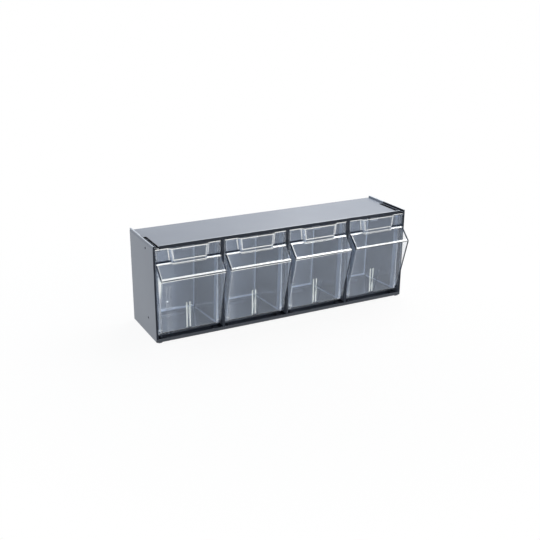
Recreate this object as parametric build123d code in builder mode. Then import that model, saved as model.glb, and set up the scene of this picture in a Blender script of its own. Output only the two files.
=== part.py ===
"""Store tilt-out bin unit: a flat housing with a row of four clear bins.

Each bin stands in its own bay on two moulded pegs at its front lower corners. Its
front is tipped towards the user, and the bin lifts out of its open cradles.

X runs along the width, Y to the back and Z up. The origin is on the ground, under
the middle of the unit's overall box. All sizes are millimetres.
"""
import os
from math import sqrt

from build123d import *

os.makedirs("parts", exist_ok=True)

# ---------------------------------------------------------------- housing sizes
HOUSING_WIDTH = 600.0
HOUSING_DEPTH = 140.0
SIDE_HEIGHT = 205.0        # side panel, lower edge to the top of its rim
SIDE_WALL = 4.0
TOP_WALL = 2.5
FLOOR_WALL = 2.5
BACK_WALL = 2.5
DIVIDER_WALL = 4.0
BIN_COUNT = 4

RIM_HEIGHT = 4.5           # rims and front lip, above the top surface
RIM_STEP_IN = 0.6          # the rim's outer face stands in from the side panel
RIM_STEP_DROP = 5.0
LIP_WALL = 2.5             # front lip of the top panel
SHELF_WIDTH = 4.25         # shelf of the side panel beside the top panel
SHELF_LEDGE = 3.0          # lower step of the shelf, under the top panel
SLOT_WIDTH = 6.0           # stacking slots, open at the front
SLOT_LENGTH = 78.0
RAIL_HEIGHT = 6.5          # front rail of the floor panel
RAIL_WALL = 3.0
EDGE_ROUND = 0.8

FOOT_HEIGHT = 2.5
FOOT_WIDTH = 8.0
FOOT_LENGTH = 24.0
FOOT_GAP = 0.5             # to the rim of a unit below, when stacked
FOOT_SETBACK = 1.5         # from the front and back faces
FOOT_ROUND = 0.6

SIDE_HOLE_RADIUS = 2.25    # ganging holes in the side panels
SIDE_HOLE_SPACING = 150.0
SIDE_HOLE_DROP = 15.5      # upper hole, below the rim's top
SIDE_HOLE_SETBACK = 44.5   # behind the front plane
WALL_HOLE_RADIUS = 2.5     # screw holes in the back panel
WALL_HOLE_SPACING_X = 450.0
WALL_HOLE_SPACING_Z = 150.0
WALL_HOLE_DROP = 21.0      # upper row, below the top panel

# -------------------------------------------------------------------- bin sizes
DIVIDER_GAP = 2.5          # bin front to divider, each side
SIDE_GAP = 0.5             # outer bin front to side panel
BIN_TOP_GAP = 0.5          # bin's upper edge under the top panel
BIN_BACK_GAP = 7.5
BIN_WALL = 2.0
CAVITY_RISE = 8.0          # the front's cavity is cut open this far above the upper edge
BIN_LIFT = 12.4            # front lower edge above the floor
BIN_FLOOR_FALL = 7.0       # the bin's floor falls by this much to the back
NOSE_REACH = 28.0          # the nose stands this far in front of the housing
NOSE_DROP = 57.0           # nose ridge below the bin's upper edge
BROW_DROP = 31.0           # start of the slanted brow below the bin's upper edge
STEP_HEIGHT = 4.5          # sloping step between the upper panel and the brow
PANEL_SETBACK = 0.5        # upper panel behind the housing's front plane
BROW_REACH = 2.0           # start of the brow in front of the housing's front plane
HEEL_SETBACK = 7.0         # front lower edge behind the housing's front plane
SHOULDER_DEPTH = 8.5       # upper panel's outer face to the shoulder's back
CORNER_ROUND = 1.5
CAVITY_CORNER_ROUND = 1.0
FRONT_ROUND = 1.2          # nose, brow and step of the bin's front
NOSE_ROUND_LOSS = 0.12     # share of that radius by which rounding draws the nose back
BODY_INSET_TOP = 3.0       # body side wall in from the bin front's end, at the top
BODY_INSET_FLOOR = 9.0     # the same at the floor
BODY_CORNER_ROUND = 8.0
BODY_HEEL_ROUND = 10.0     # lower back edge

GRIP_WIDTH = 88.0          # raised grip, its foot on the upper panel at the top
GRIP_REACH = 7.3
GRIP_FLANK = 6.0           # each flank runs in by this much from foot to face
GRIP_TAPER = 0.12          # each flank runs in by this share of the drop
GRIP_FACE_RISE = 7.0       # lower end of the grip's face above the brow
GRIP_FOOT_DROP = 29.0      # lower end of the grip's foot below the brow, inside
GRIP_CORNER_ROUND = 4.0

GUIDE_WIDTH = 10.5         # pair of upright guides inside the lower front, for a cross divider
GUIDE_RIB = 3.4
GUIDE_DEPTH = 3.5
GUIDE_WEB = 1.0            # thin web from each guide to the sloping front
GUIDE_HEIGHT = 58.0        # top of the guides above the bin's front lower edge
REAR_GUIDE_DEPTH = 3.0     # the matching pair of ribs inside the back wall
REAR_GUIDE_LENGTH = 57.0   # from the lower back edge

# ------------------------------------------------------------- pivots and stops
PEG_RADIUS = 3.0
PEG_CLEARANCE = 0.05       # radial, in the cradle
PEG_SEAT_LENGTH = 5.0      # peg length inside its cradle
PIVOT_SETBACK = 18.0       # behind the front plane
PIVOT_LIFT = 17.5          # above the floor
CRADLE_WALL = 2.5
CRADLE_MOUTH = 5.4         # the peg snaps in through this mouth
SWEEP_CLEARANCE = 3.5      # bin's back edge under the top panel, as it swings
STOP_SETBACK = 14.9        # stop face behind the front plane, met at 40 degrees of tilt
STOP_WALL = 3.0
STOP_WIDTH = 20.0
STOP_OVERLAP = 9.0         # stop tab reaches this far inside the swept circle
REST_RIB_WIDTH = 60.0
REST_RIB_WALL = 3.0
REST_RIB_SETBACK = 19.0    # rib's middle in front of the bin's back wall
REST_GAP = 0.3
FLOOR_BOSS_LENGTH = 9.0    # low block on the floor under each end of a bin's front
FLOOR_BOSS_WIDTH = 7.0
FLOOR_BOSS_HEIGHT = 4.0
FLOOR_BOSS_INSET = 12.0    # its middle in from the end of the bin's front
FLOOR_BOSS_SETBACK = 12.0  # its middle behind the front plane

# ------------------------------------------------------------ worked-out places
OVERALL_DEPTH = HOUSING_DEPTH + NOSE_REACH
FRONT_Y = NOSE_REACH - OVERALL_DEPTH / 2
BACK_Y = OVERALL_DEPTH / 2
SIDE_X = HOUSING_WIDTH / 2
INNER_X = SIDE_X - SIDE_WALL
SHELF_X = INNER_X - SHELF_WIDTH

HOUSING_LOW_Z = FOOT_HEIGHT
RIM_Z = HOUSING_LOW_Z + SIDE_HEIGHT
TOP_Z = RIM_Z - RIM_HEIGHT
CEILING_Z = TOP_Z - TOP_WALL
FLOOR_Z = HOUSING_LOW_Z + FLOOR_WALL
REAR_Y = BACK_Y - BACK_WALL

DIVIDER_COUNT = BIN_COUNT - 1
STRIPE_WIDTH = DIVIDER_WALL + 2 * DIVIDER_GAP
BIN_WIDTH = (2 * INNER_X - 2 * SIDE_GAP - DIVIDER_COUNT * STRIPE_WIDTH) / BIN_COUNT
BIN_HALF = BIN_WIDTH / 2
BIN_PITCH = BIN_WIDTH + STRIPE_WIDTH
BIN_CENTRES = [(index - DIVIDER_COUNT / 2) * BIN_PITCH for index in range(BIN_COUNT)]
DIVIDER_PLACES = [centre + BIN_PITCH / 2 for centre in BIN_CENTRES[:-1]]

BIN_TOP_Z = CEILING_Z - BIN_TOP_GAP
BROW_Z = BIN_TOP_Z - BROW_DROP
NOSE_Z = BIN_TOP_Z - NOSE_DROP
NOSE_Y = FRONT_Y - NOSE_REACH - NOSE_ROUND_LOSS * FRONT_ROUND    # before it is rounded
BROW_Y = FRONT_Y - BROW_REACH
PANEL_Y = FRONT_Y + PANEL_SETBACK
HEEL_Y = FRONT_Y + HEEL_SETBACK
HEEL_Z = FLOOR_Z + BIN_LIFT
SHOULDER_Y = PANEL_Y + SHOULDER_DEPTH
BODY_BACK_Y = REAR_Y - BIN_BACK_GAP
BODY_BACK_Z = HEEL_Z - BIN_FLOOR_FALL
FLOOR_SLOPE = BIN_FLOOR_FALL / (BODY_BACK_Y - HEEL_Y)

PIVOT_Y = FRONT_Y + PIVOT_SETBACK
PIVOT_Z = FLOOR_Z + PIVOT_LIFT
SWEEP_RADIUS = CEILING_Z - PIVOT_Z - SWEEP_CLEARANCE
SLOPE = (NOSE_Y - HEEL_Y) / (NOSE_Z - HEEL_Z)    # forward run per rise, lower front


def body_floor_z(y):
    """Height of the outside of the bin's sloping floor."""
    return HEEL_Z - FLOOR_SLOPE * (y - HEEL_Y)


def lower_front_y(z, inset=0.0):
    """Place of the lower front at a height, or of a face parallel to it behind it."""
    return HEEL_Y + SLOPE * (z - HEEL_Z) + inset * sqrt(1 + SLOPE**2)


# -------------------------------------------------------------------- the bins
def front_block(inset):
    """The bin's wide front: upper panel, step, brow, nose and the slope below it.

    An inset of nothing gives its outside, and an inset of one wall gives its cavity.
    """
    top_z = BIN_TOP_Z + (CAVITY_RISE if inset else 0)
    half = BIN_HALF - inset
    front_limit_y = PANEL_Y + (inset + SHOULDER_DEPTH / 2) / 2
    with BuildPart() as block:
        with BuildSketch(Plane.YZ):
            with BuildLine():
                Polyline(
                    (SHOULDER_Y, top_z),
                    (PANEL_Y, top_z),
                    (PANEL_Y, BROW_Z + STEP_HEIGHT),
                    (BROW_Y, BROW_Z),
                    (NOSE_Y, NOSE_Z),
                    (HEEL_Y, HEEL_Z),
                    (SHOULDER_Y, body_floor_z(SHOULDER_Y)),
                    close=True,
                )
            make_face()
            nose, brow, step_top = vertices().sort_by(Axis.Y)[-5:-2]
            fillet((nose, brow, step_top), FRONT_ROUND)
            if inset:
                offset(amount=-inset, kind=Kind.INTERSECTION)
        extrude(amount=half, both=True)
        end_edges = block.faces().filter_by(Axis.X).edges()
        front_edges = end_edges.filter_by(lambda edge: edge.center().Y < front_limit_y)
        fillet(front_edges, CAVITY_CORNER_ROUND if inset else CORNER_ROUND)
    return block.part


def body_block(inset):
    """The bin's body behind its front, tapered to the floor, with a swept upper edge."""
    top_half = BIN_HALF - BODY_INSET_TOP - inset
    low_half = BIN_HALF - BODY_INSET_FLOOR - inset
    front_y = SHOULDER_Y - BIN_WALL / 2 - inset
    back_y = BODY_BACK_Y - inset
    top_z = BIN_TOP_Z + inset
    floor_back_z = body_floor_z(BODY_BACK_Y) + inset
    with BuildPart() as block:
        with BuildSketch(Plane.YZ):
            with BuildLine():
                if inset:
                    meet_z = HEEL_Z + (front_y - lower_front_y(HEEL_Z, inset)) / SLOPE
                    low_y = lower_front_y(HEEL_Z + inset, inset)
                    low_points = [(low_y, body_floor_z(low_y) + inset), (front_y, meet_z)]
                else:
                    low_points = [(front_y, body_floor_z(front_y))]
                Polyline(
                    (front_y, top_z),
                    (back_y, top_z),
                    (back_y, floor_back_z),
                    *low_points,
                    close=True,
                )
            make_face()
            heel = vertices().group_by(Axis.X)[-1].sort_by(Axis.Y)[0]
            fillet(heel, BODY_HEEL_ROUND - inset)
        extrude(amount=BIN_HALF, both=True)
        taper = (top_half - low_half) / (BIN_TOP_Z - BODY_BACK_Z)
        for height in (BODY_BACK_Z - inset, top_z):
            half = low_half + taper * (height - BODY_BACK_Z)
            with BuildSketch(Plane.XY.offset(height)):
                with BuildLine():
                    Polyline(
                        (-half, front_y),
                        (half, front_y),
                        (half, back_y),
                        (-half, back_y),
                        close=True,
                    )
                make_face()
                fillet(vertices().group_by(Axis.Y)[-1], BODY_CORNER_ROUND - inset)
        loft(mode=Mode.INTERSECT)
        if not inset:
            with BuildSketch(Plane.YZ):
                with Locations((PIVOT_Y, PIVOT_Z)):
                    Circle(SWEEP_RADIUS)
                    Rectangle(
                        PIVOT_Y - front_y, 2 * SWEEP_RADIUS, align=(Align.MAX, Align.CENTER)
                    )
            extrude(amount=BIN_HALF, both=True, mode=Mode.INTERSECT)
    return block.part


def grip_block(inset):
    """The raised grip of the upper panel, open above. Its foot is inside the bin."""
    foot_y = PANEL_Y + inset
    face_y = PANEL_Y - GRIP_REACH + inset
    foot_low_z = BROW_Z - GRIP_FOOT_DROP + inset
    face_low_z = BROW_Z + GRIP_FACE_RISE + inset
    top_z = BIN_TOP_Z + inset
    foot_half = GRIP_WIDTH / 2 - inset
    with BuildPart() as block:
        for y, half, low_z in (
            (foot_y, foot_half, foot_low_z),
            (face_y, foot_half - GRIP_FLANK, face_low_z),
        ):
            low_half = half - GRIP_TAPER * (top_z - low_z)
            with BuildSketch(Plane.XZ.offset(-y)):
                with BuildLine():
                    Polyline(
                        (-half, top_z),
                        (-low_half, low_z),
                        (low_half, low_z),
                        (half, top_z),
                        close=True,
                    )
                make_face()
                fillet(vertices().group_by(Axis.Y)[0], GRIP_CORNER_ROUND - inset / 2)
        loft()
    return block.part


def front_guides(rib_x):
    """The pair of upright guides inside the lower front, each on a thin web."""
    low_z = HEEL_Z + BIN_WALL / 2
    high_z = HEEL_Z + GUIDE_HEIGHT
    front_y = lower_front_y(HEEL_Z + BIN_WALL, BIN_WALL)
    back_y = front_y + GUIDE_DEPTH
    guide_low_z = body_floor_z(back_y) + BIN_WALL / 2
    middle_y = (front_y + back_y) / 2
    with BuildPart() as guides:
        with BuildSketch(Plane.XY.offset(guide_low_z)):
            with Locations((rib_x, front_y), (-rib_x, front_y)):
                Rectangle(GUIDE_RIB, GUIDE_DEPTH, align=(Align.CENTER, Align.MIN))
        extrude(amount=high_z - guide_low_z)
        for side in (-1, 1):
            with BuildSketch(Plane.YZ.offset(side * rib_x)):
                with BuildLine():
                    Polyline(
                        (middle_y, low_z),
                        (middle_y, high_z),
                        (lower_front_y(high_z, BIN_WALL / 2), high_z),
                        (lower_front_y(low_z, BIN_WALL / 2), low_z),
                        close=True,
                    )
                make_face()
            extrude(amount=GUIDE_WEB / 2, both=True)
    return guides.part


def rear_guides(rib_x):
    """The pair of ribs on the back wall, cut to the body's own corner and floor."""
    with BuildPart() as ribs:
        add(body_block(BIN_WALL / 2))
        with BuildSketch(Plane.XY.offset(BODY_BACK_Z)):
            with Locations((rib_x, BODY_BACK_Y), (-rib_x, BODY_BACK_Y)):
                Rectangle(
                    GUIDE_RIB, BIN_WALL + REAR_GUIDE_DEPTH, align=(Align.CENTER, Align.MAX)
                )
        extrude(amount=REAR_GUIDE_LENGTH, mode=Mode.INTERSECT)
    return ribs.part


def clear_bin():
    """One clear bin, about the middle of its own bay."""
    outsides = [front_block(0), body_block(0), grip_block(0)]
    cavities = [front_block(BIN_WALL), body_block(BIN_WALL), grip_block(BIN_WALL)]
    rib_x = (GUIDE_WIDTH - GUIDE_RIB) / 2
    guides = [front_guides(rib_x), rear_guides(rib_x)]
    peg_length = BODY_INSET_FLOOR + BIN_WALL / 2
    with BuildPart() as one_bin:
        add(outsides)
        add(cavities, mode=Mode.SUBTRACT)
        add(guides)
        for side in (1, -1):
            with BuildSketch(Plane(origin=(side * BIN_HALF, PIVOT_Y, PIVOT_Z), z_dir=(-side, 0, 0))):
                Circle(PEG_RADIUS)
            extrude(amount=peg_length)
    return one_bin.part


# ----------------------------------------------------------------- the housing
def cradle(wall_x, end_x):
    """An open ring for one peg, from a wall to its free end."""
    bore_radius = PEG_RADIUS + PEG_CLEARANCE
    ring_radius = bore_radius + CRADLE_WALL
    ring_plane = Plane(origin=(wall_x, PIVOT_Y, PIVOT_Z), x_dir=(0, 1, 0), z_dir=(1, 0, 0))
    with BuildPart() as ring:
        with BuildSketch(ring_plane):
            Circle(ring_radius)
            Circle(bore_radius, mode=Mode.SUBTRACT)
            Rectangle(
                CRADLE_MOUTH, ring_radius,
                align=(Align.CENTER, Align.MIN), mode=Mode.SUBTRACT,
            )
        extrude(amount=end_x - wall_x)
    return ring.part


def side_panel(side):
    """An end panel of the housing, with its rim, shelf, cradle and ganging holes."""
    ring = cradle(INNER_X, BIN_CENTRES[-1] + BIN_HALF - PEG_SEAT_LENGTH)
    middle_y = (FRONT_Y + BACK_Y) / 2
    hole_z = RIM_Z - SIDE_HOLE_DROP - SIDE_HOLE_SPACING / 2
    ledge_front_y = FRONT_Y + LIP_WALL + SLOT_LENGTH
    with BuildPart() as panel:
        with BuildSketch(Plane.YZ.offset(INNER_X)):
            with Locations((middle_y, HOUSING_LOW_Z)):
                Rectangle(HOUSING_DEPTH, SIDE_HEIGHT, align=(Align.CENTER, Align.MIN))
        extrude(amount=SIDE_WALL)
        outer_edges = panel.faces().sort_by(Axis.X)[-1].edges()
        fillet(outer_edges, EDGE_ROUND)
        with BuildSketch(Plane.YZ.offset(SIDE_X)):
            with Locations((middle_y, RIM_Z)):
                Rectangle(HOUSING_DEPTH, RIM_STEP_DROP, align=(Align.CENTER, Align.MAX))
        extrude(amount=-RIM_STEP_IN, mode=Mode.SUBTRACT)
        with BuildSketch(Plane.YZ.offset(SHELF_X)):
            with Locations((middle_y, TOP_Z)):
                Rectangle(HOUSING_DEPTH, TOP_WALL, align=(Align.CENTER, Align.MAX))
        extrude(amount=SHELF_WIDTH)
        with BuildSketch(Plane.YZ.offset(SHELF_X - SHELF_LEDGE)):
            with Locations((ledge_front_y, CEILING_Z)):
                Rectangle(REAR_Y - ledge_front_y, TOP_WALL, align=(Align.MIN, Align.MAX))
        extrude(amount=SHELF_WIDTH + SHELF_LEDGE)
        with Locations(Plane(origin=(SIDE_X, FRONT_Y + SIDE_HOLE_SETBACK, hole_z), z_dir=(1, 0, 0))):
            with GridLocations(SIDE_HOLE_SPACING, SIDE_HOLE_SPACING, 2, 1):
                Hole(SIDE_HOLE_RADIUS, depth=SIDE_WALL)
        add(ring)
        if side < 0:
            mirror(about=Plane.YZ, mode=Mode.REPLACE)
    return panel.part


def top_panel():
    """The top, with its raised front lip, two stacking slots and one stop tab per bin."""
    stop_back_y = FRONT_Y + STOP_SETBACK
    stop_low_z = PIVOT_Z + SWEEP_RADIUS - STOP_OVERLAP
    lip_half = SHELF_X - SLOT_WIDTH
    with BuildPart() as panel:
        with BuildSketch(Plane.XY.offset(CEILING_Z)):
            with Locations((0, FRONT_Y)):
                Rectangle(2 * SHELF_X, HOUSING_DEPTH, align=(Align.CENTER, Align.MIN))
            with Locations((lip_half, FRONT_Y), (-SHELF_X, FRONT_Y)):
                Rectangle(
                    SLOT_WIDTH, LIP_WALL + SLOT_LENGTH, align=Align.MIN, mode=Mode.SUBTRACT
                )
        extrude(amount=TOP_WALL)
        with BuildSketch(Plane.XY.offset(CEILING_Z)):
            with Locations((0, FRONT_Y)):
                Rectangle(2 * lip_half, LIP_WALL, align=(Align.CENTER, Align.MIN))
        extrude(amount=RIM_Z - CEILING_Z)
        lip_edges = panel.edges().filter_by(Axis.X).group_by(Axis.Z)[-1]
        fillet(lip_edges, EDGE_ROUND)
        with BuildSketch(Plane.XY.offset(CEILING_Z)):
            with Locations(*[(centre, stop_back_y) for centre in BIN_CENTRES]):
                Rectangle(STOP_WIDTH, STOP_WALL, align=(Align.CENTER, Align.MAX))
        extrude(amount=stop_low_z - CEILING_Z)
    return panel.part


def floor_panel():
    """The floor, with its front rail, and a rest rib and two low blocks for each bin."""
    rib_y = BODY_BACK_Y - REST_RIB_SETBACK
    boss_reach = BIN_HALF - FLOOR_BOSS_INSET
    boss_places = [
        (centre + side * boss_reach, FRONT_Y + FLOOR_BOSS_SETBACK)
        for centre in BIN_CENTRES
        for side in (-1, 1)
    ]
    rib_top_z = body_floor_z(rib_y + REST_RIB_WALL / 2) - REST_GAP
    with BuildPart() as panel:
        with BuildSketch(Plane.XY.offset(HOUSING_LOW_Z)):
            with Locations((0, FRONT_Y)):
                Rectangle(2 * INNER_X, HOUSING_DEPTH, align=(Align.CENTER, Align.MIN))
        extrude(amount=FLOOR_WALL)
        with BuildSketch(Plane.XY.offset(HOUSING_LOW_Z)):
            with Locations((0, FRONT_Y)):
                Rectangle(2 * INNER_X, RAIL_WALL, align=(Align.CENTER, Align.MIN))
        extrude(amount=RAIL_HEIGHT)
        rail_edges = panel.edges().filter_by(Axis.X).group_by(Axis.Z)[-1]
        fillet(rail_edges, EDGE_ROUND)
        with BuildSketch(Plane.XY.offset(FLOOR_Z)):
            with Locations(*[(centre, rib_y) for centre in BIN_CENTRES]):
                Rectangle(REST_RIB_WIDTH, REST_RIB_WALL)
        extrude(amount=rib_top_z - FLOOR_Z)
        with BuildSketch(Plane.XY.offset(FLOOR_Z)):
            with Locations(*boss_places):
                Rectangle(FLOOR_BOSS_LENGTH, FLOOR_BOSS_WIDTH)
        extrude(amount=FLOOR_BOSS_HEIGHT)
    return panel.part


def back_panel():
    """The back, with four screw holes for a wall."""
    holes_z = CEILING_Z - WALL_HOLE_DROP - WALL_HOLE_SPACING_Z / 2
    with BuildPart() as panel:
        with BuildSketch(Plane.XZ.offset(-REAR_Y)):
            with Locations((0, FLOOR_Z)):
                Rectangle(2 * INNER_X, CEILING_Z - FLOOR_Z, align=(Align.CENTER, Align.MIN))
            with Locations((0, holes_z)):
                with GridLocations(WALL_HOLE_SPACING_X, WALL_HOLE_SPACING_Z, 2, 2):
                    Circle(WALL_HOLE_RADIUS, mode=Mode.SUBTRACT)
        extrude(amount=-BACK_WALL)
    return panel.part


def divider(place):
    """A divider between two bays, with a cradle on each face."""
    cradle_reach = DIVIDER_GAP + PEG_SEAT_LENGTH
    faces = [place + side * DIVIDER_WALL / 2 for side in (1, -1)]
    rings = [cradle(face, face + side * cradle_reach) for side, face in zip((1, -1), faces)]
    with BuildPart() as panel:
        with BuildSketch(Plane.YZ.offset(place)):
            with Locations((FRONT_Y, FLOOR_Z)):
                Rectangle(REAR_Y - FRONT_Y, CEILING_Z - FLOOR_Z, align=Align.MIN)
                Rectangle(
                    RAIL_WALL, HOUSING_LOW_Z + RAIL_HEIGHT - FLOOR_Z,
                    align=Align.MIN, mode=Mode.SUBTRACT,
                )
        extrude(amount=DIVIDER_WALL / 2, both=True)
        fillet(panel.edges().filter_by(Axis.Z).group_by(Axis.Y)[0], EDGE_ROUND)
        add(rings)
    return panel.part


def foot(side_x, side_y):
    """A foot under one corner. It stands inside the rim of a unit below it."""
    middle_x = side_x * (INNER_X - FOOT_GAP - FOOT_WIDTH / 2)
    middle_y = (FRONT_Y + BACK_Y) / 2 + side_y * (HOUSING_DEPTH / 2 - FOOT_SETBACK - FOOT_LENGTH / 2)
    with BuildPart() as block:
        with BuildSketch():
            with Locations((middle_x, middle_y)):
                Rectangle(FOOT_WIDTH, FOOT_LENGTH)
        extrude(amount=FOOT_HEIGHT)
        fillet(block.edges().group_by(Axis.Z)[0], FOOT_ROUND)
    return block.part


# ------------------------------------------------------------------ all pieces
pieces = {
    "left_side_panel": side_panel(-1),
    "right_side_panel": side_panel(1),
    "top_panel": top_panel(),
    "floor_panel": floor_panel(),
    "back_panel": back_panel(),
}
for number, place in enumerate(DIVIDER_PLACES, start=1):
    pieces[f"divider_{number}"] = divider(place)
for depth_name, side_y in (("front", -1), ("rear", 1)):
    for side_name, side_x in (("left", -1), ("right", 1)):
        pieces[f"{depth_name}_{side_name}_foot"] = foot(side_x, side_y)
bin_shape = clear_bin()
for number, centre in enumerate(BIN_CENTRES, start=1):
    pieces[f"bin_{number}"] = Pos(centre, 0, 0) * bin_shape

for name, piece in pieces.items():
    piece.label = name
    export_step(piece, f"parts/{name}.step")
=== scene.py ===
"""Looks of the store tilt-out bin unit: satin grey housing, four clear bins.

Lengths are metres in the unit's own frame: X along the width, Y to the back, Z up.
"""
import math

import bpy
from mathutils import Matrix, Vector

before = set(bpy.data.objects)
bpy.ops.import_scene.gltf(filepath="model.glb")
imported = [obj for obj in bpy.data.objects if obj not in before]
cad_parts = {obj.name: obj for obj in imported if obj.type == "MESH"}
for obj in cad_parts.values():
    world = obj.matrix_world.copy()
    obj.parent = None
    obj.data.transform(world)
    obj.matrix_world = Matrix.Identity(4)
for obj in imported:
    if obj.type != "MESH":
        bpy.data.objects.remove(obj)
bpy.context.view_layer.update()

# ------------------------------------------------------------------------- camera
CAMERA_AZIMUTH = math.radians(-27.63)
CAMERA_ELEVATION = math.radians(19.96)
CAMERA_ROLL = math.radians(0.40)
CAMERA_DISTANCE = 1.8213
CAMERA_TARGET = Vector((-0.00603, 0.014, 0.08955))
CAMERA_CLIP_START, CAMERA_CLIP_END = 0.05, 50.0
IMAGE_PIXELS = 540
FOCAL_PIXELS = 823.0
SENSOR_WIDTH = 36.0

# ------------------------------------------------------------ floor, world, lamps
FLOOR_HALF = 4.0
FLOOR_DROP = 0.0002          # under the feet, so that the two faces don't meet
FLOOR_DIM, FLOOR_PALE = (0.28, 0.28, 0.28), (0.60, 0.60, 0.60)
FLOOR_MOTTLE = 0.01          # added to each channel where the paint is lightest
FLOOR_MOTTLE_SCALE = 3.0
FLOOR_GLOW = 0.92            # share of plain white near the object
FLOOR_FADE = (0.35, 0.80)    # distances between which that share rises to 1
WORLD_FILL = 0.12
WORLD_FILL_COLOUR = (0.88, 0.94, 1.0, 1.0)
WHITE = (1.0, 1.0, 1.0, 1.0)
LAMP_WHITE, LAMP_COOL = (1.0, 1.0, 1.0), (0.86, 0.935, 1.0)
# Each lamp's name, place, aim, width and height, watts and colour.
LAMPS = (
    ("top_softbox", (0.84, 0.42, 1.30), (0.16, 0.05, 0.1), (1.8, 1.1), 40.0, LAMP_WHITE),
    ("left_softbox", (-1.25, 0.65, 0.90), (-0.3, 0.0, 0.1), (2.4, 1.9), 29.0, LAMP_COOL),
    ("front_softbox", (0.55, -2.10, 0.80), (0.0, 0.0, 0.1), (2.4, 1.5), 24.0, LAMP_WHITE),
)

# ------------------------------------------------------------------ housing paint
HOUSING_DARK, HOUSING_LIGHT = (0.132, 0.150, 0.186), (0.150, 0.169, 0.206)
# Painted shade: dark colours painted on the lip, on the front edges of the sides and dividers, in the
# trough and in the side holes, where shade falls.
HOUSING_SHADE_LOW, HOUSING_SHADE_HIGH = (0.030, 0.036, 0.048), (0.037, 0.043, 0.056)
# Painted shade: near-black painted in the stacking slots, on the top panel just beside them and on the
# rims' inner faces.
HOUSING_SLOT_SHADE = (0.003, 0.004, 0.007)
# Painted shade: the front face of the bottom rail, painted darker than the rest.
HOUSING_RAIL_SHADE = (0.066, 0.076, 0.094)
# Painted highlight: a light colour painted along the top edges of the rims and the lip.
HOUSING_CREST_HIGHLIGHT = (0.36, 0.39, 0.44)
HOUSING_IOR = 1.5
HOUSING_SPECULAR = 0.4
HOUSING_ROUGHNESS = (0.29, 0.31)
HOUSING_CLOUD_SCALE, HOUSING_CLOUD_DETAIL = 9.0, 3.0
HOUSING_ROUGHNESS_SCALE, HOUSING_ROUGHNESS_DETAIL = 6.0, 0.0
HOUSING_GRAIN_SCALE = 300.0
HOUSING_GRAIN_STRENGTH, HOUSING_GRAIN_DEPTH = 0.015, 0.0001
# Roughness and specular level of the painted shade, low in gloss so that it stays dark.
SHADE_PAINT_ROUGHNESS = 0.6
SHADE_PAINT_SPECULAR = 0.12

# Bands of the housing along Y and Z, and along X from its middle: (low, high). The lip, front-edge,
# slot, rim, trough, side-hole and rail bands mark where shade is painted, and the bands along the top
# edges mark where a highlight is painted.
FRONT_PLANE_Y = (-0.057, -0.0557)
LIP_Z = (0.2003, 0.2071)
WALL_ENDS_Z = (0.0092, 0.2003)     # front edges of the sides and dividers
SLOT_X = (0.2841, 0.2934)
SLOT_Y = (-0.058, 0.0252)
SLOT_Z = (0.195, 0.2036)
RIM_X = (0.2957, 0.2970)           # inner face of the rim, beside the slot
RIM_Y = (-0.058, 0.0248)
RIM_Z = (0.2033, 0.210)
INSIDE_X = (-0.001, 0.2958)
TROUGH_Y = (-0.0536, -0.030)       # floor panel behind the front rail
TROUGH_Z = (0.003, 0.0105)
OUTSIDE_X = (0.2960, 0.3010)
SIDE_HOLE_Y = -0.0115
SIDE_HOLE_HEIGHTS = (0.042, 0.192)
SIDE_HOLE_RADIUS = 0.0026
RAIL_Y = (-0.057, -0.0527)
RAIL_Z = (0.0024, 0.0092)
CREST_X = (-0.001, 0.2990)
CREST_Z = (0.2070, 0.210)

# ------------------------------------------------- bins: sizes that the lines follow
BIN_PITCH = 0.150
BIN_COUNT = 4
BIN_TOP_Z = 0.200
GRIP_TAPER = 0.12                  # each flank runs in by this share of the drop
BROW_LINE = 0.227                  # the slanted brow lies where y is z less this
HEEL_Y = -0.049                    # lower edge of a bin's front
INNER_FLOOR_Z = 0.0194             # top of a bin's floor there
FLOOR_SLOPE = 0.0569               # fall of that floor to the back
CHEEK_TOP_Z = 0.143                # the nose
CHEEK_LEAN = 0.153                 # its rear line leans forward by this share of the drop

# ---------------------------------------------------------------- bins: bright lines, painted highlights
EDGE_RADIUS = 0.0013
EDGE_SAMPLES = 8
EDGE_LOW, EDGE_HIGH = 0.008, 0.035
# Strengths of the painted highlights: bright lines painted along edges, nose, brow, grip and cheek.
EDGE_TOP, LINE_TOP, NOSE_TOP, BESIDE_TOP = 0.90, 0.85, 0.92, 0.45
FLANK_TOP, CHEEK_TOP = 0.75, 0.90
LEFT_EDGE_LOSS = 0.60              # share by which a bin's left edge is dimmed
LAST_BIN_TOP = 0.70                # strength of the lines on the right-hand bin
LAST_BIN_X = (0.145, 0.155)

FRONT_Y = (-0.095, -0.0525)
PROUD_Y = (-0.095, -0.0562)        # what stands in front of the housing
OUTER_FRONT_Y = (-0.095, -0.0560)
HIDDEN_Y = (-0.0545, 0.080)        # a bin's upper edge under the top panel
HIDDEN_Z = (0.1960, 0.2010)
LEFT_EDGE_X, LEFT_EDGE_Z = (-0.080, -0.0660), (0.0, 0.1390)
NOSE_Y = (-0.090, -0.0775)
NOSE_UPPER_Z, NOSE_LOWER_Z = (0.1440, 0.1455), (0.1398, 0.1413)
NOSE_DRIFT = 0.0006                # the upper line sinks by this much to the right
NOSE_DRIFT_X = (-0.1, 0.2)
NOSE_FADE_X = (-0.05, 0.20)        # the lower line fades to the right
NOSE_GAP_Z = (0.1417, 0.1433)
BROW_Y, BROW_Z = (-0.0622, -0.0537), (0.1678, 0.1697)
TOP_EDGE_Z = (0.1981, 0.2010)
GRIP_FOOT_X, GRIP_FOOT_Y, GRIP_FOOT_Z = (-0.01, 0.0352), (-0.065, -0.0600), (0.1746, 0.1766)
FRONT_ENDS_X = (0.0681, 0.0715)
BESIDE_X, BESIDE_Z = (-0.0680, -0.0665), (0.0180, 0.1690)
BESIDE_LOW, BESIDE_FADE_Z = 0.25, (0.138, 0.144)
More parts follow.
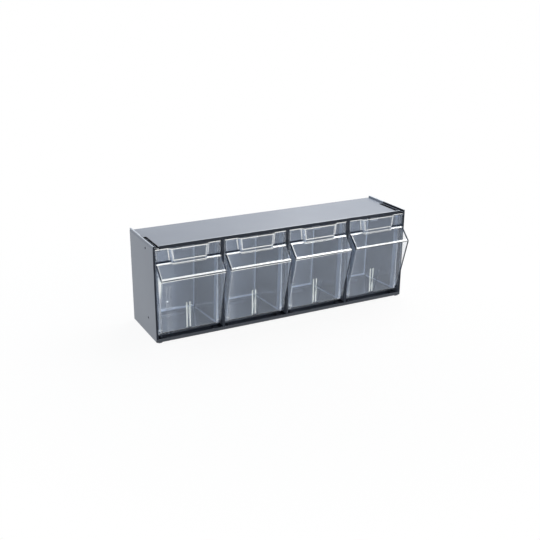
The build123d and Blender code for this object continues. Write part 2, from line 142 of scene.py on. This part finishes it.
FLANK_FOOT_X, FLANK_FACE_X = (0.0432, 0.0449), (0.0368, 0.0384)
FLANK_LINE_Z = (0.1755, 0.1990)
CHEEK_X, CHEEK_Y, CHEEK_Z = (-0.2960, -0.2930), (-0.095, -0.0655), (0.100, 0.1425)

# ------------------------------------------------------------------ bins: dark lines, painted shade
DARK_TOP, GAP_TOP, SHOULDER_TOP = 0.88, 0.60, 0.50
STEP_X, STEP_Y, STEP_Z = (0.0385, 0.080), (-0.0592, -0.0535), (0.1709, 0.1745)
BROW_ENDS_Z = (0.1440, 0.1690)
BELOW_BROW = (-0.002, 0.0034)
RIGHT_ENDS_Z = (0.0180, 0.1440)
SHOULDER_X, SHOULDER_Y = (0.0650, 0.0800), (-0.0512, -0.0460)
UNDER_SLOT_X = (0.2840, 0.2925)
OUTLINE_X, OUTLINE_Z = (0.2919, 0.2960), (0.0180, 0.1690)

# ------------------------------------------------------------------------ bins: painted reflection
# Painted reflection: a lit, bluish, mostly metallic veil over the clear plastic, weak everywhere and
# strong in bands at the ends, grip flanks, shoulders, walls, floor lines and inner corners.
PAINTED_REFLECTION, FLAT_REFLECTION_SHARE = 0.050, 0.35
END_REFLECTION, END_REFLECTION_RIGHT, END_X = 0.12, 0.4, (-0.03, 0.03)
FLANK_REFLECTION, FLANK_X, FLANK_Z = 0.28, (0.030, 0.048), (0.160, 0.205)
SHOULDER_REFLECTION, SHOULDER_LIGHT_X = 0.26, (0.0585, 0.0645)
WALL_REFLECTION, WALL_X, WALL_Y = 0.75, (0.0520, 0.0690), (-0.0455, -0.0335)
INNER_REFLECTION, INNER_Y = 0.85, (0.060, 0.080)
FLOOR_LINE_REFLECTION = 0.85
SIDE_FLOOR_X, SIDE_FLOOR_Y, SIDE_FLOOR_RISE = (0.0572, 0.0606), (-0.045, 0.064), (-0.0005, 0.0020)
BACK_FLOOR_Y = (0.055, 0.075)
OUTER_END_X, OUTER_END_REFLECTION_SHARE = (0.2700, 0.2960), 0.25

# ---------------------------------------------------------------------- bins: guides
GUIDE_X, GUIDE_Y, GUIDE_Z = (0.0, 0.0062), (-0.075, -0.0430), (0.0185, 0.0765)
GUIDE_EDGE_X, GUIDE_EDGE_Y, GUIDE_EDGE_Z = (0.0017, 0.0054), (-0.0446, -0.0430), (0.0195, 0.0756)

# ------------------------------------- bands of the normal's parts, each from -1 to 1
MOSTLY = (0.75, 1.1)               # a face that points mostly along an axis
NEARLY_ALL = (0.9, 1.1)
STRAIGHT_ON = (0.985, 1.1)
NOT_SIDEWAYS, SIDEWAYS = (-0.1, 0.93), (0.93, 1.1)
FLANK_LEAN = (0.45, 0.95)          # the slanted flanks of the grip
ROUND_LEAN, ROUND_BACK, ROUND_INNER = (0.55, 0.85), (0.5, 0.85), (-0.85, -0.5)
HEEL_BACK, HEEL_UP = (-0.90, -0.45), (0.45, 0.90)
LEVEL_UP = (0.1, 0.6)              # from an upright face to a level one

# ---------------------------------------------------------------------- clear plastic
CLEAR_IOR = 1.57
CLEAR_TINT = (0.78, 0.87, 1.0, 1.0)
CLEAR_LOW, CLEAR_HIGH = (0.940, 0.962, 0.990), (0.955, 0.972, 1.0)
CLEAR_OUTER = (0.99, 0.995, 1.0)
CLEAR_ROUGHNESS = (0.015, 0.04)
CLEAR_WAVE_STRENGTH, CLEAR_WAVE_DEPTH = 0.03, 0.0004
WAVE_SCALE, FINE_SCALE, GLOSS_SCALE, GLOSS_DETAIL = 26.0, 400.0, 60.0, 3.0
# Colours of the painted reflection.
REFLECTION_LOW, REFLECTION_HIGH = (0.68, 0.78, 0.96), (0.74, 0.84, 1.0)
# Colours of the painted highlights.
HIGHLIGHT_COLD, HIGHLIGHT_WARM = (0.90, 0.92, 0.92), (0.97, 0.97, 0.94)
# Colours of the painted shade.
SHADE_LOW, SHADE_HIGH = (0.012, 0.020, 0.040), (0.022, 0.032, 0.055)
# Colours of the painted highlight on the guides' rear edges.
GUIDE_HIGHLIGHT_LOW, GUIDE_HIGHLIGHT_HIGH = (0.66, 0.66, 0.60), (0.82, 0.82, 0.76)
REFLECTION_ROUGHNESS, REFLECTION_METALLIC = 0.5, 0.7
HIGHLIGHT_ROUGHNESS, HIGHLIGHT_METALLIC = 0.22, 0.75
SHADE_ROUGHNESS, SHADE_SPECULAR = 0.6, 0.05
GUIDE_HIGHLIGHT_ROUGHNESS, GUIDE_HIGHLIGHT_METALLIC = 0.5, 0.8
STRAIGHT_COLOUR = (0.95, 0.96, 0.97, 1.0)
SHADOW_COLOUR = (0.93, 0.945, 0.96, 1.0)
PANE_GLOSS, PANE_ROUGHNESS = 1.8, 0.03

# ------------------------------------------------------ noise, and softness of bands
NOISE_SPAN = (0.3, 0.7)            # most values of a noise texture lie in it
HALF_CRISP, CRISP, PLAIN, SOFT, BLUNT = 0.00005, 0.0001, 0.0002, 0.0003, 0.0006
LEFT_EDGE_SOFT, WALL_SOFT, END_SOFT, CHEEK_SOFT = 0.0004, 0.0008, 0.002, 0.004
STRAIGHT_SOFT, TURN_SOFT, LEAN_SOFT, ROUND_SOFT = 0.005, 0.02, 0.05, 0.06    # of normals


def add_camera():
    """The camera at the photograph's viewing angle."""
    flat = math.cos(CAMERA_ELEVATION)
    back = Vector((
        math.sin(CAMERA_AZIMUTH) * flat,
        -math.cos(CAMERA_AZIMUTH) * flat,
        math.sin(CAMERA_ELEVATION),
    ))
    data = bpy.data.cameras.new("camera")
    data.sensor_width = SENSOR_WIDTH
    data.lens = SENSOR_WIDTH * FOCAL_PIXELS / IMAGE_PIXELS
    data.clip_start, data.clip_end = CAMERA_CLIP_START, CAMERA_CLIP_END
    camera = bpy.data.objects.new("camera", data)
    turn = back.to_track_quat("Z", "Y").to_matrix() @ Matrix.Rotation(CAMERA_ROLL, 3, "Z")
    place = Matrix.Translation(CAMERA_TARGET + back * CAMERA_DISTANCE)
    camera.matrix_world = place @ turn.to_4x4()
    bpy.context.scene.collection.objects.link(camera)
    bpy.context.scene.camera = camera


# ------------------------------------------------------------------- node helpers
class Nodes:
    """A short way to write a node tree."""

    def __init__(self, tree):
        self.tree = tree
        tree.nodes.clear()

    def add(self, kind, settings=None, **inputs):
        """One node. Its settings are attributes, and its inputs are values or sockets.

        An input is named as on the node, with _ for a space, or i and its number.
        """
        made = self.tree.nodes.new(kind)
        for name, value in (settings or {}).items():
            setattr(made, name, value)
        for name, value in inputs.items():
            numbered = name[0] == "i" and name[1:].isdigit()
            self.feed(made.inputs[int(name[1:]) if numbered else name.replace("_", " ")], value)
        return made

    def feed(self, socket, value):
        """Link or set one input."""
        if isinstance(value, bpy.types.NodeSocket):
            self.tree.links.new(value, socket)
        else:
            socket.default_value = value

    def math(self, operation, first, second):
        """The result of one maths node on two values."""
        made = self.add("ShaderNodeMath", {"operation": operation}, i0=first, i1=second)
        return made.outputs[0]

    def plus(self, first, second):
        """The sum of two values."""
        return self.math("ADD", first, second)

    def minus(self, first, second):
        """The first value less the second."""
        return self.math("SUBTRACT", first, second)

    def size(self, value):
        """A value without its sign."""
        made = self.add("ShaderNodeMath", {"operation": "ABSOLUTE"}, i0=value)
        return made.outputs[0]

    def product(self, first, *others):
        """The product of several values."""
        for other in others:
            first = self.math("MULTIPLY", first, other)
        return first

    def largest(self, first, *others):
        """The largest of several values."""
        for other in others:
            first = self.math("MAXIMUM", first, other)
        return first

    def within(self, value, band, soft=PLAIN):
        """1 where a value lies in a band (low, high), with soft edges."""
        low, high = band
        rise = self.add("ShaderNodeMapRange", Value=value, From_Min=low - soft, From_Max=low + soft)
        fall = self.add("ShaderNodeMapRange", Value=value, From_Min=high + soft, From_Max=high - soft)
        return self.product(rise.outputs[0], fall.outputs[0])

    def to_range(self, value, low, high, span=NOISE_SPAN):
        """A value's span stretched to another range, from low to high."""
        made = self.add(
            "ShaderNodeMapRange", Value=value, From_Min=span[0], From_Max=span[1],
            To_Min=low, To_Max=high,
        )
        return made.outputs[0]

    def disc(self, across, up, middle, height, radius):
        """1 inside a round spot in two coordinates."""
        run = self.minus(across, middle)
        rise = self.minus(up, height)
        square = self.plus(self.product(run, run), self.product(rise, rise))
        return self.math("LESS_THAN", square, radius ** 2)

    def place(self):
        """X, Y and Z in the object's own coordinates."""
        point = self.add("ShaderNodeTexCoord").outputs["Object"]
        return self.add("ShaderNodeSeparateXYZ", Vector=point).outputs[:]

    def facing(self):
        """X, Y and Z of the surface's normal in the object's own axes."""
        turned = self.add(
            "ShaderNodeVectorTransform",
            {"vector_type": "NORMAL", "convert_from": "WORLD", "convert_to": "OBJECT"},
            Vector=self.add("ShaderNodeNewGeometry").outputs["Normal"],
        )
        return self.add("ShaderNodeSeparateXYZ", Vector=turned.outputs[0]).outputs[:]

    def noise(self, scale, detail=2.0):
        """The value of a noise texture in the object's own coordinates."""
        where = self.add("ShaderNodeTexCoord").outputs["Object"]
        made = self.add("ShaderNodeTexNoise", Vector=where, Scale=scale, Detail=detail)
        return made.outputs[0]

    def blend(self, share, first, second):
        """A colour between two others."""
        made = self.add("ShaderNodeMix", {"data_type": "RGBA"})
        self.tree.links.new(share, made.inputs["Factor"])
        for name, value in (("A", first), ("B", second)):
            socket = next(s for s in made.inputs if s.name == name and s.type == "RGBA")
            self.feed(socket, value if isinstance(value, bpy.types.NodeSocket) else (*value, 1.0))
        return next(s for s in made.outputs if s.type == "RGBA")

    def mix(self, share, first, second):
        """A shader between two others."""
        return self.add("ShaderNodeMixShader", i0=share, i1=first.outputs[0], i2=second.outputs[0])

    def finish(self, kind, shader):
        """Link a shader to the tree's output."""
        self.add(kind, Surface=shader.outputs[0])


def new_material(name):
    """An empty node material."""
    material = bpy.data.materials.new(name)
    material.use_nodes = True
    return material, Nodes(material.node_tree)


# ------------------------------------------------------------------------ housing
def housing_slot_shade(n, x, y, z):
    """Painted shade: the stacking slots, a strip of the top panel beside each, and the inner faces of
    the rims beside them, painted near-black.
    """
    away = n.size(x)
    slots = n.product(
        n.within(away, SLOT_X, CRISP), n.within(y, SLOT_Y, CRISP), n.within(z, SLOT_Z, HALF_CRISP),
    )
    rims = n.product(
        n.within(away, RIM_X, CRISP), n.within(y, RIM_Y, CRISP), n.within(z, RIM_Z, CRISP),
    )
    return n.largest(slots, rims)


def housing_painted_shade(n, x, y, z):
    """Painted shade apart from the slots: the lip, the front edges, the trough and the side holes are
    painted dark where shade falls.
    """
    away = n.size(x)
    front = n.within(y, FRONT_PLANE_Y, CRISP)
    lip = n.product(front, n.within(z, LIP_Z, CRISP))
    ends = n.product(front, n.within(z, WALL_ENDS_Z, CRISP))
    trough = n.product(n.within(y, TROUGH_Y), n.within(z, TROUGH_Z), n.within(away, INSIDE_X, CRISP))
    outside = n.within(away, OUTSIDE_X, CRISP)
    holes = [
        n.product(n.disc(y, z, SIDE_HOLE_Y, height, SIDE_HOLE_RADIUS), outside)
        for height in SIDE_HOLE_HEIGHTS
    ]
    return n.largest(lip, ends, trough, *holes)


def housing_material():
    """Satin blue-grey moulded plastic, with painted shade in its recesses and on the rail's face, and a
    painted highlight on its crests.
    """
    material, n = new_material("housing_plastic")
    x, y, z = n.place()
    # Painted shade in the slots and on the rims beside them.
    slots = housing_slot_shade(n, x, y, z)
    # Painted shade on the lip, the front edges, the trough, the side holes and the slots.
    painted_shade = n.largest(housing_painted_shade(n, x, y, z), slots)
    # Painted shade on the front face of the bottom rail.
    rail = n.product(n.within(y, RAIL_Y, CRISP), n.within(z, RAIL_Z, CRISP))
    # A painted highlight along the crests.
    crest_highlight = n.product(n.within(z, CREST_Z, HALF_CRISP), n.within(n.size(x), CREST_X, CRISP))

    cloud = n.to_range(n.noise(HOUSING_CLOUD_SCALE, HOUSING_CLOUD_DETAIL), 0.0, 1.0)
    gloss = n.to_range(n.noise(HOUSING_ROUGHNESS_SCALE, HOUSING_ROUGHNESS_DETAIL), *HOUSING_ROUGHNESS)
    paint = n.blend(rail, n.blend(cloud, HOUSING_DARK, HOUSING_LIGHT), HOUSING_RAIL_SHADE)
    grain = n.add(
        "ShaderNodeBump", Strength=HOUSING_GRAIN_STRENGTH, Distance=HOUSING_GRAIN_DEPTH,
        Height=n.noise(HOUSING_GRAIN_SCALE),
    )
    satin = n.add(
        "ShaderNodeBsdfPrincipled", Base_Color=n.blend(crest_highlight, paint, HOUSING_CREST_HIGHLIGHT),
        Roughness=gloss, IOR=HOUSING_IOR, Specular_IOR_Level=HOUSING_SPECULAR,
        Normal=grain.outputs[0],
    )
    # The painted shade's colour, near-black in the slots.
    shade_colour = n.blend(cloud, HOUSING_SHADE_LOW, HOUSING_SHADE_HIGH)
    shade_shader = n.add(
        "ShaderNodeBsdfPrincipled", Base_Color=n.blend(slots, shade_colour, HOUSING_SLOT_SHADE),
        Roughness=SHADE_PAINT_ROUGHNESS, Specular_IOR_Level=SHADE_PAINT_SPECULAR,
    )
    n.finish("ShaderNodeOutputMaterial", n.mix(painted_shade, satin, shade_shader))
    return material


# --------------------------------------------------------------------- clear bins
class BinSurface:
    """Where a point of a bin lies and which way its surface faces."""

    def __init__(self, n):
        self.n = n
        self.x, self.y, self.z = n.place()
        self.face_x, self.face_y, self.face_z = n.facing()
        self.sideways = n.size(self.face_x)
        shifted = n.plus(self.x, BIN_PITCH * BIN_COUNT / 2)
        bay = n.math("FLOORED_MODULO", shifted, BIN_PITCH)
        self.across = n.minus(bay, BIN_PITCH / 2)
        self.away = n.size(self.across)
        self.front = n.within(self.y, FRONT_Y, SOFT)
        self.proud = n.within(self.y, PROUD_Y)
        self.broad = n.within(self.sideways, NOT_SIDEWAYS, TURN_SOFT)
        self.upright_end = n.within(self.sideways, MOSTLY, LEAN_SOFT)
        self.hidden = n.product(n.within(self.y, HIDDEN_Y), n.within(self.z, HIDDEN_Z))
        self.shoulder = n.within(self.y, SHOULDER_Y)

    def guide_patch(self):
        """The patch of the front that holds the guides."""
        n = self.n
        return n.product(
            n.within(self.away, GUIDE_X), n.within(self.y, GUIDE_Y), n.within(self.z, GUIDE_Z),
        )

    def guide_sides(self):
        """Faces in that patch that aren't panes: sides, tops and backs of the guides."""
        n = self.n
        return n.largest(
            n.within(self.sideways, NEARLY_ALL, TURN_SOFT),
            n.within(self.face_z, NEARLY_ALL, TURN_SOFT),
            n.within(n.size(self.face_y), STRAIGHT_ON, STRAIGHT_SOFT),
        )

    def guide_edges(self):
        """The rear edges of the guides, where a highlight is painted."""
        n = self.n
        return n.product(
            n.within(self.away, GUIDE_EDGE_X, HALF_CRISP), n.within(self.y, GUIDE_EDGE_Y, HALF_CRISP),
            n.within(self.z, GUIDE_EDGE_Z),
        )

    def outer_end(self):
        """The free right end of the right-hand bin, seen against the background."""
        n = self.n
        return n.product(n.within(self.x, OUTER_END_X, END_SOFT), n.within(self.y, OUTER_FRONT_Y, SOFT))

    def cheek(self):
        """A painted highlight: the bright triangle under the left-hand bin's nose."""
        n = self.n
        leaning = n.minus(self.y, n.product(n.minus(self.z, CHEEK_TOP_Z), CHEEK_LEAN))
        return n.product(
            n.within(self.x, CHEEK_X), n.within(leaning, CHEEK_Y, BLUNT),
            n.within(self.z, CHEEK_Z, CHEEK_SOFT), self.upright_end,
        )

    def reflection_level(self):
        """The plain painted reflection, weaker on level faces."""
        return self.n.to_range(self.face_z, PAINTED_REFLECTION, PAINTED_REFLECTION * FLAT_REFLECTION_SHARE, LEVEL_UP)


def rounded_edges(n):
    """1 at the moulding's edges and 0 on its faces: where a highlight is painted for the light that
    clear plastic gathers there.
    """
    normal = n.add("ShaderNodeNewGeometry").outputs["Normal"]
    bevel = n.add("ShaderNodeBevel", {"samples": EDGE_SAMPLES}, Radius=EDGE_RADIUS)
    turn = n.add(
        "ShaderNodeVectorMath", {"operation": "DOT_PRODUCT"}, i0=bevel.outputs[0], i1=normal,
    )
    bent = n.minus(1.0, n.size(turn.outputs["Value"]))
    return n.to_range(bent, 0.0, 1.0, (EDGE_LOW, EDGE_HIGH))


def nose_lines(s):
    """Two thin painted highlights along the nose."""
    n = s.n
    drifting = n.plus(s.z, n.to_range(s.x, 0.0, NOSE_DRIFT, NOSE_DRIFT_X))
    fade = n.to_range(s.x, 1.0, 0.0, NOSE_FADE_X)
    lower = n.product(n.within(s.z, NOSE_LOWER_Z), fade)
    return n.product(n.within(s.y, NOSE_Y, SOFT), n.largest(n.within(drifting, NOSE_UPPER_Z), lower))


def front_lines(s):
    """Painted highlights along the brow, the top edge and the foot of the grip."""
    n = s.n
    brow = n.product(n.within(s.y, BROW_Y), n.within(s.z, BROW_Z))
    top_edge = n.product(s.front, n.within(s.z, TOP_EDGE_Z))
    grip_foot = n.product(
        n.within(s.y, GRIP_FOOT_Y), n.within(s.z, GRIP_FOOT_Z), n.within(s.away, GRIP_FOOT_X),
    )
    return n.largest(brow, top_edge, grip_foot)


def flank_lines(s):
    """Painted highlights down the flanks of the grip, at their foot and at its face."""
    n = s.n
    out = n.plus(s.away, n.product(n.minus(BIN_TOP_Z, s.z), GRIP_TAPER))
    return n.product(
        n.largest(n.within(out, FLANK_FOOT_X), n.within(out, FLANK_FACE_X)),
        s.front, n.within(s.z, FLANK_LINE_Z, SOFT),
    )


def highlight_share(s):
    """How much of each point is a painted highlight, a bright line."""
    n = s.n
    left_edge = n.product(n.within(s.across, LEFT_EDGE_X), n.within(s.z, LEFT_EDGE_Z, LEFT_EDGE_SOFT))
    covered = n.largest(s.guide_patch(), s.hidden, n.product(left_edge, LEFT_EDGE_LOSS))
    corners = n.product(rounded_edges(n), n.minus(1.0, covered))
    beside = n.product(
        s.proud, s.broad, n.within(s.across, BESIDE_X),
        n.to_range(s.z, BESIDE_LOW, 1.0, BESIDE_FADE_Z), n.within(s.z, BESIDE_Z, SOFT),
    )
    lines = n.largest(
        n.product(corners, EDGE_TOP), n.product(nose_lines(s), NOSE_TOP),
        n.product(front_lines(s), LINE_TOP), n.product(beside, BESIDE_TOP),
        n.product(flank_lines(s), FLANK_TOP), n.product(s.cheek(), CHEEK_TOP),
    )
    return n.product(lines, n.to_range(s.x, 1.0, LAST_BIN_TOP, LAST_BIN_X))


def shade_share(s):
    """How much of each point is painted shade, a dark line."""
    n = s.n
    step = n.product(n.within(s.y, STEP_Y), n.within(s.z, STEP_Z), n.within(s.away, STEP_X))
    below_brow = n.minus(s.y, n.minus(s.z, BROW_LINE))
    facing_out = n.within(s.sideways, SIDEWAYS, TURN_SOFT)
    brow_ends = n.product(
        s.proud, n.within(s.z, BROW_ENDS_Z, SOFT),
        n.largest(
            n.product(s.broad, n.within(s.away, FRONT_ENDS_X)),
            n.product(facing_out, n.within(below_brow, BELOW_BROW)),
        ),
    )
    right_ends = n.product(
        s.proud, s.broad, n.within(s.across, FRONT_ENDS_X), n.within(s.z, RIGHT_ENDS_Z, SOFT),
    )
    outline = n.product(
        s.proud, s.broad, n.within(s.x, OUTLINE_X), n.within(s.z, OUTLINE_Z, SOFT),
    )
    under_slot = n.product(s.hidden, n.within(n.size(s.x), UNDER_SLOT_X))
    shoulder = n.product(n.within(s.across, SHOULDER_X), s.shoulder)
    nose_gap = n.product(n.within(s.y, NOSE_Y, SOFT), n.within(s.z, NOSE_GAP_Z))
    dark = n.largest(
        n.product(n.largest(under_slot, outline, step, brow_ends, right_ends), DARK_TOP),
        n.product(shoulder, SHOULDER_TOP), n.product(nose_gap, GAP_TOP),
    )
    return n.product(dark, n.minus(1.0, s.cheek()))


def inner_lines(s):
    """The rounded corners of the body's back wall, which get painted reflection."""
    n = s.n
    leaning = n.within(s.sideways, ROUND_LEAN, ROUND_SOFT)
    outer = n.product(leaning, n.within(s.face_y, ROUND_BACK, ROUND_SOFT))
    inner = n.product(leaning, n.within(s.face_y, ROUND_INNER, ROUND_SOFT))
    return n.product(n.largest(outer, inner), n.within(s.y, INNER_Y))


def floor_lines(s):
    """The lines where the body's sloping floor meets its side and back walls, which get painted
    reflection.
    """
    n = s.n
    fallen = n.product(n.minus(s.y, HEEL_Y), FLOOR_SLOPE)
    above_floor = n.plus(n.minus(s.z, INNER_FLOOR_Z), fallen)
    side = n.product(
        n.within(s.away, SIDE_FLOOR_X), n.within(above_floor, SIDE_FLOOR_RISE),
        n.within(s.y, SIDE_FLOOR_Y),
    )
    back = n.product(
        n.within(s.face_y, HEEL_BACK, ROUND_SOFT), n.within(s.face_z, HEEL_UP, ROUND_SOFT),
        n.within(s.y, BACK_FLOOR_Y),
    )
    return n.largest(side, back)


def reflection_share(s):
    """How much of each point is painted reflection."""
    n = s.n
    ends = n.product(s.upright_end, s.front, n.to_range(s.across, 1.0, END_REFLECTION_RIGHT, END_X))
    flanks = n.product(
        n.within(s.sideways, FLANK_LEAN, LEAN_SOFT), n.within(s.away, FLANK_X),
        n.within(s.z, FLANK_Z), s.front,
    )
    shoulder = n.product(n.within(s.across, SHOULDER_LIGHT_X), s.shoulder)
    wall = n.product(n.within(s.across, WALL_X), n.within(s.y, WALL_Y, WALL_SOFT), s.upright_end)
    reflection = n.largest(
        s.reflection_level(), n.product(ends, END_REFLECTION), n.product(flanks, FLANK_REFLECTION),
        n.product(wall, WALL_REFLECTION), n.product(shoulder, SHOULDER_REFLECTION),
        n.product(floor_lines(s), FLOOR_LINE_REFLECTION), n.product(inner_lines(s), INNER_REFLECTION),
    )
    return n.product(reflection, n.to_range(s.outer_end(), 1.0, OUTER_END_REFLECTION_SHARE, (0.0, 1.0)))


def plain_glass(s, wave, soft_wave):
    """The clear plastic itself, a little wavy."""
    n = s.n
    ripple = n.add(
        "ShaderNodeBump", Strength=CLEAR_WAVE_STRENGTH, Distance=CLEAR_WAVE_DEPTH, Height=wave,
    )
    tint = n.blend(s.outer_end(), n.blend(soft_wave, CLEAR_LOW, CLEAR_HIGH), CLEAR_OUTER)
    return n.add(
        "ShaderNodeBsdfPrincipled", Base_Color=tint,
        Roughness=n.to_range(n.noise(GLOSS_SCALE, GLOSS_DETAIL), *CLEAR_ROUGHNESS),
        IOR=CLEAR_IOR, Transmission_Weight=1.0, Specular_Tint=CLEAR_TINT,
        Normal=ripple.outputs[0],
    )


def guide_shader(s, reflection):
    """The patch round the guides, which light passes without bending."""
    n = s.n
    straight = n.add("ShaderNodeBsdfRefraction", Color=STRAIGHT_COLOUR, Roughness=0.0, IOR=1.0)
    gloss = n.add("ShaderNodeBsdfGlossy", Color=CLEAR_TINT, Roughness=PANE_ROUGHNESS)
    entering = n.minus(1.0, n.add("ShaderNodeNewGeometry").outputs["Backfacing"])
    fresnel = n.add("ShaderNodeFresnel", IOR=CLEAR_IOR).outputs[0]
    shining = n.mix(n.product(fresnel, entering, PANE_GLOSS), straight, gloss)
    return n.mix(s.guide_sides(), n.mix(s.reflection_level(), shining, reflection), straight)


def clear_material():
    """Clear moulded plastic with a blue cast, painted reflection, painted highlights and painted shade
    along its edges, and a painted highlight on the guides' rear edges.
    """
    material, n = new_material("clear_plastic")
    s = BinSurface(n)
    wave = n.noise(WAVE_SCALE)
    soft_wave = n.to_range(wave, 0.0, 1.0)
    fine = n.to_range(n.noise(FINE_SCALE), 0.0, 1.0)
    # Painted reflection: a rough, mostly metallic bluish shader laid over the clear plastic.
    reflection = n.add(
        "ShaderNodeBsdfPrincipled", Base_Color=n.blend(soft_wave, REFLECTION_LOW, REFLECTION_HIGH),
        Roughness=REFLECTION_ROUGHNESS, Metallic=REFLECTION_METALLIC,
    )
    # Painted highlight: a light, mostly metallic shader laid on the bright lines.
    edge = n.add(
        "ShaderNodeBsdfPrincipled", Base_Color=n.blend(fine, HIGHLIGHT_COLD, HIGHLIGHT_WARM),
        Roughness=HIGHLIGHT_ROUGHNESS, Metallic=HIGHLIGHT_METALLIC,
    )
    # Painted shade: a dark shader with little gloss, laid on the dark lines.
    shade = n.add(
        "ShaderNodeBsdfPrincipled", Base_Color=n.blend(fine, SHADE_LOW, SHADE_HIGH),
        Roughness=SHADE_ROUGHNESS, Specular_IOR_Level=SHADE_SPECULAR,
    )
    # Painted highlight: a light, mostly metallic shader on the guides' rear edges.
    guide_highlight = n.add(
        "ShaderNodeBsdfPrincipled", Base_Color=n.blend(fine, GUIDE_HIGHLIGHT_LOW, GUIDE_HIGHLIGHT_HIGH),
        Roughness=GUIDE_HIGHLIGHT_ROUGHNESS, Metallic=GUIDE_HIGHLIGHT_METALLIC,
    )
    veiled = n.mix(reflection_share(s), plain_glass(s, wave, soft_wave), reflection)
    lined = n.mix(highlight_share(s), veiled, edge)
    shaded = n.mix(shade_share(s), lined, shade)
    body = n.mix(s.guide_patch(), shaded, guide_shader(s, reflection))
    highlighted = n.mix(s.guide_edges(), body, guide_highlight)
    shadow = n.add("ShaderNodeBsdfTransparent", Color=SHADOW_COLOUR)
    is_shadow = n.add("ShaderNodeLightPath").outputs["Is Shadow Ray"]
    n.finish("ShaderNodeOutputMaterial", n.mix(is_shadow, highlighted, shadow))
    return material


# ---------------------------------------------------------------- floor and light
def seen_rays(n):
    """1 for the rays that show the background: camera, glossy and transmission rays."""
    path = n.add("ShaderNodeLightPath")
    names = ("Is Camera Ray", "Is Glossy Ray", "Is Transmission Ray")
    return n.largest(*(path.outputs[name] for name in names))


def mottled(n, mottle, colour):
    """A colour that is a little lighter in places."""
    return n.blend(mottle, colour, tuple(channel + FLOOR_MOTTLE for channel in colour))


def floor_material():
    """Pale paint that turns to plain white away from the object."""
    material, n = new_material("floor_paint")
    place = n.add("ShaderNodeTexCoord").outputs["Object"]
    seen = seen_rays(n)
    mottle = n.to_range(n.noise(FLOOR_MOTTLE_SCALE), 0.0, 1.0)
    colour = n.blend(seen, mottled(n, mottle, FLOOR_DIM), mottled(n, mottle, FLOOR_PALE))
    paint = n.add("ShaderNodeBsdfDiffuse", Color=colour)
    glow = n.add("ShaderNodeEmission", Color=WHITE, Strength=1.0)
    far = n.add("ShaderNodeVectorMath", {"operation": "LENGTH"}, i0=place).outputs["Value"]
    white = n.to_range(far, FLOOR_GLOW, 1.0, FLOOR_FADE)
    n.finish("ShaderNodeOutputMaterial", n.mix(n.product(seen, white), paint, glow))
    return material


def add_floor():
    """A plain pale floor that keeps a faint shadow near the object."""
    mesh = bpy.data.meshes.new("floor")
    low, high = -FLOOR_HALF, FLOOR_HALF
    corners = [(low, low, 0), (high, low, 0), (high, high, 0), (low, high, 0)]
    mesh.from_pydata(corners, [], [(0, 1, 2, 3)])
    mesh.materials.append(floor_material())
    floor = bpy.data.objects.new("floor", mesh)
    floor.location.z = -FLOOR_DROP
    bpy.context.scene.collection.objects.link(floor)


def add_world():
    """White to the rays that show it, and a soft fill to the rest."""
    world = bpy.data.worlds.new("studio")
    bpy.context.scene.world = world
    world.use_nodes = True
    n = Nodes(world.node_tree)
    fill = n.add("ShaderNodeBackground", Color=WORLD_FILL_COLOUR, Strength=WORLD_FILL)
    white = n.add("ShaderNodeBackground", Color=WHITE, Strength=1.0)
    n.finish("ShaderNodeOutputWorld", n.mix(seen_rays(n), fill, white))


def add_softbox(name, place, aim, size, watts, colour):
    """One soft rectangular lamp of a given width and height."""
    data = bpy.data.lights.new(name, "AREA")
    data.shape = "RECTANGLE"
    data.size, data.size_y = size
    data.energy = watts
    data.color = colour
    lamp = bpy.data.objects.new(name, data)
    lamp.location = place
    lamp.rotation_mode = "QUATERNION"
    lamp.rotation_quaternion = (Vector(place) - Vector(aim)).to_track_quat("Z", "Y")
    bpy.context.scene.collection.objects.link(lamp)


def add_lamps():
    """A wide lamp above, one at the left and back, and one in front."""
    for lamp in LAMPS:
        add_softbox(*lamp)


def dress_pieces():
    """The clear plastic on the bins and the satin plastic on the rest."""
    housing, clear = housing_material(), clear_material()
    for name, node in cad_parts.items():
        node.data.materials.clear()
        node.data.materials.append(clear if name.startswith("bin_") else housing)


add_camera()
add_floor()
add_world()
add_lamps()
dress_pieces()
bpy.context.scene.view_settings.view_transform = "Standard"
